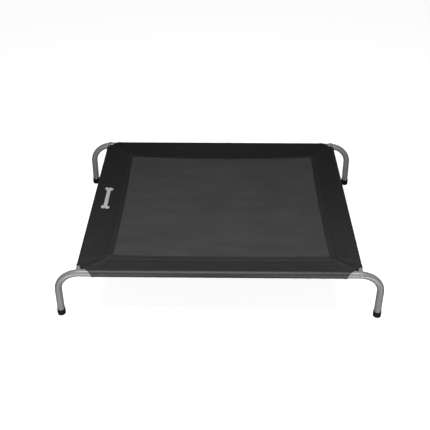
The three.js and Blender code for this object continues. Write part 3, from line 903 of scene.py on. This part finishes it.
def printed_mark(strip, cloth, material):
    """Ink on the left border, as a thin film in the shape of a bone."""
    steps, across = 120, 8
    t_middle = strip.run - MARK_INWARD
    vertices, faces = [], []
    for sign in (-1, 1):
        s_grid, t_grid = np.zeros((steps + 1, across + 1)), np.zeros((steps + 1, across + 1))
        for i in range(steps + 1):
            along = MARK_LENGTH * 0.4999 * math.sin(math.pi * (i / steps - 0.5))
            near, far = bone_limits(along)
            s_grid[i] = MARK_MIDDLE_S + along
            t_grid[i] = t_middle + sign * np.linspace(near, far, across + 1)
        points = strip.point(s_grid, t_grid).reshape(-1, 3)
        base = len(vertices)
        vertices += list(dropped_onto(cloth, points, CLOTH / 2 + 0.12 * MM))
        side_faces = grid_faces(steps + 1, across + 1)
        faces += [tuple(base + i for i in (f if sign > 0 else f[::-1])) for f in side_faces]
    piece = new_piece("printed_bone_mark", vertices, faces, material)
    weld = piece.modifiers.new("weld", "WELD")
    weld.merge_threshold = 0.02 * MM
    solidify(piece, INK)
    return piece


# ---- Materials ----


class Graph:
    """One material, with short ways to add and link its nodes."""

    def __init__(self, name):
        self.material = bpy.data.materials.new(name)
        self.material.use_nodes = True
        self.tree = self.material.node_tree
        self.shader = self.tree.nodes["Principled BSDF"]

    def node(self, kind, inputs=(), **settings):
        node = self.tree.nodes.new(kind)
        for key, value in settings.items():
            setattr(node, key, value)
        for key, value in dict(inputs).items():
            self.feed(node.inputs[key], value)
        return node

    def feed(self, socket, value):
        if isinstance(value, bpy.types.NodeSocket):
            self.tree.links.new(value, socket)
        else:
            socket.default_value = value

    def math(self, operation, a, b=0.0):
        return self.node("ShaderNodeMath", {0: a, 1: b}, operation=operation).outputs[0]

    def place(self, kind="Object"):
        return self.node("ShaderNodeTexCoord").outputs[kind]

    def scaled(self, vector, factors):
        inputs = {0: vector, 1: factors}
        return self.node("ShaderNodeVectorMath", inputs, operation="MULTIPLY").outputs[0]

    def noise(self, vector, scale, detail=2.0, roughness=0.5):
        inputs = {"Vector": vector, "Scale": scale, "Detail": detail, "Roughness": roughness}
        return self.node("ShaderNodeTexNoise", inputs).outputs["Fac"]

    def between(self, value, low, high, from_low=0.3, from_high=0.7):
        inputs = {"Value": value, "From Min": from_low, "From Max": from_high}
        inputs.update({"To Min": low, "To Max": high})
        return self.node("ShaderNodeMapRange", inputs).outputs["Result"]

    def blend(self, factor, a, b):
        node = self.node("ShaderNodeMix", data_type="RGBA")
        colour_inputs = [socket for socket in node.inputs if socket.type == "RGBA"]
        self.feed(node.inputs[0], factor)
        self.feed(colour_inputs[0], a)
        self.feed(colour_inputs[1], b)
        return next(socket for socket in node.outputs if socket.type == "RGBA")

    def tint(self, value, dark, light, *limits):
        return self.blend(self.between(value, 0.0, 1.0, *limits), grey(dark), grey(light))

    def bump(self, height, distance, strength=1.0, normal=None):
        inputs = {"Height": height, "Distance": distance, "Strength": strength}
        node = self.node("ShaderNodeBump", inputs)
        if normal is not None:
            self.feed(node.inputs["Normal"], normal)
        return node.outputs["Normal"]

    def shade(self, **inputs):
        for key, value in inputs.items():
            self.feed(self.shader.inputs[key.replace("_", " ")], value)
        return self.material


def grey(value):
    """A neutral colour, from a screen value of 0 to 255."""
    share = value / 255
    linear = share / 12.92 if share <= 0.04045 else ((share + 0.055) / 1.055) ** 2.4
    return (linear, linear, linear * 1.01, 1.0)


def powder_coat():
    g = Graph("silver powder coat")
    place = g.place()
    peel = g.noise(place, 1400, 2)
    broad = g.noise(place, 16, 3)
    speck = g.noise(place, 3200, 1)
    colour = g.tint(broad, 125, 132)
    colour = g.blend(g.between(speck, 0.0, 0.35, 0.62, 0.72), colour, grey(168))
    return g.shade(
        Base_Color=colour,
        Metallic=0.2,
        Roughness=g.between(peel, 0.33, 0.41),
        Normal=g.bump(peel, 0.05 * MM, 0.5),
    )


def hard_surface(name, grain_scale, tint_scale, greys, roughness, bump, detail=2, **settings):
    """A fine grain in height and gloss under a broader tint. The bump is its depth in
    millimetres and its strength."""
    g = Graph(name)
    place = g.place()
    grain = g.noise(place, grain_scale, detail)
    broad = g.noise(place, tint_scale, detail)
    tint = g.tint(broad, *greys)
    normal = g.bump(grain, bump[0] * MM, bump[1])
    return g.shade(Base_Color=tint, Roughness=g.between(grain, *roughness), Normal=normal, **settings)


def zinc():
    roughness, bump = (0.42, 0.56), (0.02, 0.4)
    return hard_surface("zinc plated steel", 2500, 300, (146, 160), roughness, bump, Metallic=0.6)


def grey_plastic():
    return hard_surface("grey moulded plastic", 2200, 120, (128, 136), (0.45, 0.6), (0.04, 0.4))


def rubber():
    look = {"detail": 3, "Specular_IOR_Level": 0.2}
    return hard_surface("black rubber", 1600, 90, (5, 10), (0.6, 0.78), (0.06, 0.5), **look)


# Greys for one and the same black cloth on each side of the bed. They hold painted light: the rear
# border is painted darker as painted shade, the front border lighter as painted sheen, and the left and
# right lie in between.
CLOTH_GREYS_PAINTED_SHADE = {"front": (25, 31), "rear": (7, 10), "left": (15, 20), "right": (15, 20)}


def plain_weave(g, pitch):
    """Height of a plain weave over the cloth's own coordinates, from 0 to 1."""
    uv = g.node("ShaderNodeSeparateXYZ", {0: g.scaled(g.place("UV"), (1 / pitch, 1 / pitch, 0))})
    u, v = uv.outputs[0], uv.outputs[1]
    parity = g.math("MODULO", g.math("ADD", g.math("FLOOR", u), g.math("FLOOR", v)), 2.0)
    parity = g.math("ABSOLUTE", parity)

    def hump(value, depth):
        """A parabola over each yarn, 1 in its middle."""
        off_middle = g.math("SUBTRACT", g.math("FRACT", value), 0.5)
        squared = g.math("MULTIPLY", off_middle, off_middle)
        return g.math("SUBTRACT", 1.0, g.math("MULTIPLY", squared, depth))

    across, along = 3.6, 2.4
    warp = g.math("MULTIPLY", hump(u, across), hump(v, along))
    weft = g.math("MULTIPLY", hump(v, across), hump(u, along))
    lower = g.math("SUBTRACT", 1.0, parity)
    return g.math("ADD", g.math("MULTIPLY", warp, parity), g.math("MULTIPLY", weft, lower))


def border_cloth(side, dark, light, name="border cloth"):
    g = Graph(f"{side} {name}")
    weave = plain_weave(g, 0.85 * MM)
    place = g.place()
    crinkle = g.noise(place, 95, 4, 0.6)
    broad = g.noise(place, 9, 3)
    tone = g.math("ADD", g.math("MULTIPLY", crinkle, 0.7), g.math("MULTIPLY", broad, 0.3))
    colour = g.tint(tone, dark, light, 0.35, 0.65)
    # Painted shade and painted highlights: the colour is darker where the weave is low, between the
    # yarns, and stays lighter on the yarns' crowns.
    colour = g.blend(g.between(weave, 0.35, 0.0, 0.1, 0.9), colour, grey(dark * 0.55))
    normal = g.bump(crinkle, 1.0 * MM, 0.8)
    normal = g.bump(weave, 0.16 * MM, 0.7, normal)
    return g.shade(
        Base_Color=colour,
        Roughness=g.between(weave, 0.58, 0.48, 0.2, 0.9),
        Specular_IOR_Level=0.6,
        Normal=normal,
    )


def mesh_cloth():
    g = Graph("dark grey open mesh")
    weave = plain_weave(g, 1.5 * MM)
    place = g.place()
    broad = g.noise(g.scaled(place, (1.0, 2.6, 1.0)), 7, 3)
    colour = g.tint(broad, 58, 65)
    # Painted shade: the colour is much darker where the weave is low, in the gaps between the yarns.
    colour = g.blend(g.between(weave, 0.6, 0.0, 0.15, 0.75), colour, grey(22))
    normal = g.bump(weave, 0.3 * MM, 0.8)
    return g.shade(Base_Color=colour, Roughness=0.7, Specular_IOR_Level=0.1, Normal=normal)


def thread():
    g = Graph("black thread")
    twist = g.noise(g.place(), 2600, 2)
    tint = g.tint(twist, 20, 38)
    normal = g.bump(twist, 0.06 * MM, 0.5)
    return g.shade(Base_Color=tint, Roughness=0.6, Specular_IOR_Level=0.3, Normal=normal)


def ink():
    g = Graph("light grey ink")
    place = g.place()
    weave = g.noise(place, 1300, 2)
    worn = g.noise(place, 260, 4, 0.65)
    tint = g.blend(g.between(worn, 0.0, 0.25, 0.55, 0.75), grey(158), grey(104))
    return g.shade(Base_Color=tint, Roughness=0.6, Normal=g.bump(weave, 0.08 * MM, 0.5))


# ---- Camera, lights and floor ----


def add_camera():
    """At the height, distance and tilt from which the object is looked at."""
    camera = bpy.data.cameras.new("camera")
    camera.sensor_width = 36
    camera.lens = 53.98
    camera.clip_end = 50
    eye = new_object("camera", camera)
    eye.location = (0.0059, -1.8963, 1.6387)
    eye.rotation_euler = Euler((math.radians(90 - 38.57), math.radians(0.06), math.radians(0.67)))
    bpy.context.scene.camera = eye


def area_light(name, place, target, size, power):
    light = bpy.data.lights.new(name, "AREA")
    light.shape = "RECTANGLE"
    light.size, light.size_y = size
    light.energy = power
    lamp = new_object(name, light)
    lamp.location = place
    lamp.rotation_euler = (Vector(target) - Vector(place)).to_track_quat("-Z", "Y").to_euler()
    lamp.visible_camera = False


STAGE_GLOW = 0.92


def stage_piece(name, vertices, faces):
    """A pale piece of the stage. It glows, so that shadows stay faint, but throws no
    light of its own onto the bed."""
    g = Graph("pale " + name)
    tone = g.noise(g.place(), 1.5, 2)
    colour = g.tint(tone, 168, 172)
    g.shade(Base_Color=colour, Roughness=0.9, Specular_IOR_Level=0.1)
    g.shade(Emission_Color=(1.0, 1.0, 1.0, 1.0), Emission_Strength=STAGE_GLOW)
    mesh = bpy.data.meshes.new(name)
    mesh.from_pydata(vertices, [], faces)
    mesh.materials.append(g.material)
    piece = new_object(name, mesh)
    piece.visible_diffuse = False
    piece.visible_glossy = False
    piece.visible_shadow = False


def add_floor():
    half, below = 12.0, -0.5 * MM
    corners = [(-half, -half, below), (half, -half, below), (half, half, below), (-half, half, below)]
    stage_piece("floor", corners, [(0, 1, 2, 3)])


def add_backdrop():
    """A tall round screen that stands far out on the floor, open at the top."""
    radius, height, sides = 11.5, 9.0, 96
    angles = [2 * math.pi * k / sides for k in range(sides)]
    ring = [(radius * math.cos(angle), radius * math.sin(angle)) for angle in angles]
    vertices = [(x, y, z) for z in (0.0, height) for x, y in ring]
    stage_piece("backdrop", vertices, grid_faces(2, sides, close_columns=True))


def add_world():
    """A dim, even fill from all around."""
    world = bpy.data.worlds.new("studio")
    bpy.context.scene.world = world
    world.use_nodes = True
    background = world.node_tree.nodes["Background"]
    background.inputs["Color"].default_value = (1, 1, 1, 1)
    background.inputs["Strength"].default_value = 0.05


def add_studio():
    bpy.context.scene.view_settings.view_transform = "Standard"
    add_camera()
    add_world()
    add_floor()
    add_backdrop()
    area_light("overhead softbox", (0.0, -0.50, 1.6), (0.0, -0.50, 0), (1.9, 0.5), 38)
    for side, x in (("left", -0.56), ("right", 0.56)):
        area_light(side + " front card", (x, -0.85, 0.03), (x, -0.38, 0.1), (0.8, 0.3), 3.7)
        area_light(side + " rear card", (x, 0.95, 0.03), (x, 0.38, 0.1), (0.8, 0.3), 1.4)


# ---- The bed ----


def build_frame():
    coat, steel, plastic, black = powder_coat(), zinc(), grey_plastic(), rubber()
    front, rear = Matrix.Translation((0, -RAIL_Y, 0)), Matrix.Translation((0, RAIL_Y, 0))
    neck_x = SPIGOT_TIP_X + SPIGOT_LENGTH + NECK_LENGTH
    rail("front_rail_left", neck_x, True, front @ HALF_TURN, coat)
    rail("front_rail_right", -JOINT_X, False, front, coat)
    rail("rear_rail_left", -JOINT_X, False, rear @ HALF_TURN, coat)
    rail("rear_rail_right", neck_x, True, rear, coat)
    crossbar("left_crossbar", -CROSSBAR_X, coat)
    crossbar("right_crossbar", CROSSBAR_X, coat)
    for corner in CORNERS:
        bolt(corner, steel)
        washer(corner, plastic)
        foot(corner, black)
        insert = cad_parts[corner + "_insert"]
        insert.data.materials.clear()
        insert.data.materials.append(steel)


def build_cover():
    sewn = thread()
    panel = mesh_panel(mesh_cloth())
    for side in INWARDS:
        strip = Strip(side)
        # Each side's cloth and hem get that side's greys, so the painted shade and painted sheen differ
        # from side to side.
        dark, light = CLOTH_GREYS_PAINTED_SHADE[side]
        cloth = border_cloth(side, dark, light)
        # The hem is the same cloth folded over. It is painted a little lighter than its strip as
        # painted sheen on the raised band.
        hem_cloth_painted_sheen = border_cloth(side, dark + 3, light + 4, "hem cloth with painted sheen")
        piece, ts, s_grid = border(strip, cloth)
        trim = [band(strip, hem_cloth_painted_sheen), mouth_hem(strip, 1, hem_cloth_painted_sheen), mouth_hem(strip, -1, hem_cloth_painted_sheen)]
        trim.append(strip_stitches(strip, sewn))
        if side == "left":
            trim.append(printed_mark(strip, piece, ink()))


add_studio()
build_frame()
build_cover()
